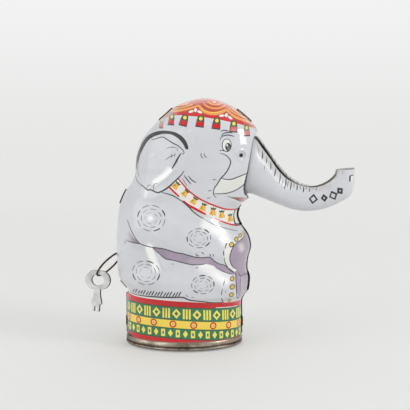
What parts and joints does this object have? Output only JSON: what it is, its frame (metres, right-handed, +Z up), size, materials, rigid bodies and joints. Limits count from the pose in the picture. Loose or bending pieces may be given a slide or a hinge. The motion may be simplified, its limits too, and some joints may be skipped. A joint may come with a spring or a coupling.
{
  "type": "tin elephant coin bank",
  "caption": "Lithographed tin elephant on an oval drum, with a tipping trunk as coin chute, a locked base trap and a key on a ring.",
  "frame": {"origin": "middle of the drum's underside, on the plane it stands on", "axes": "+X the way the elephant faces, +Y its left side, +Z up"},
  "size_m": [0.1405, 0.0528, 0.127],
  "materials": {
    "printed_tin": "gloss litho print",
    "bare_tin": "aged bare tin",
    "steel_wire": "dark oxidised wire",
    "zinc_plate": "dull zinc"
  },
  "bodies": {
    "bank_body": {"right_shell": "printed_tin", "left_shell": "printed_tin", "base_plate": "bare_tin", "door_hinge_pin": "steel_wire", "trunk_pin": "steel_wire"},
    "trunk": {"trunk_right": "printed_tin", "trunk_left": "printed_tin"},
    "trap": {"coin_door": "bare_tin"},
    "lock": {"lock_plug": "zinc_plate", "lock_bolt": "zinc_plate", "lock_rivet": "zinc_plate"},
    "ring": {"key_ring": "steel_wire"},
    "key": {"key": "zinc_plate"}
  },
  "joints": [
    {"name": "trunk_tip", "type": "hinge", "parent": "bank_body", "child": "trunk", "pos_m": [0.0295, 0, 0.0981], "axis": [0, -1, 0], "range_deg": [0, 40]},
    {"name": "trap_swing", "type": "hinge", "parent": "bank_body", "child": "trap", "pos_m": [-0.0138, 0, 0.0017], "axis": [0, 1, 0], "range_deg": [0, 100]},
    {"name": "lock_turn", "type": "hinge", "parent": "trap", "child": "lock", "pos_m": [0.0058, 0, 0.0022], "axis": [0, 0, 1], "range_deg": [0, 90]},
    {"name": "ring_swing", "type": "hinge", "parent": "bank_body", "child": "ring", "pos_m": [-0.0349, 0, 0.0452], "axis": [0.2016, 0.9613, -0.188], "range_deg": [0, 60]},
    {"name": "key_swing", "type": "hinge", "parent": "ring", "child": "key", "pos_m": [-0.04523, 0, 0.03412], "axis": [0.2016, 0.9613, -0.188], "range_deg": [-20, 60]}
  ]
}
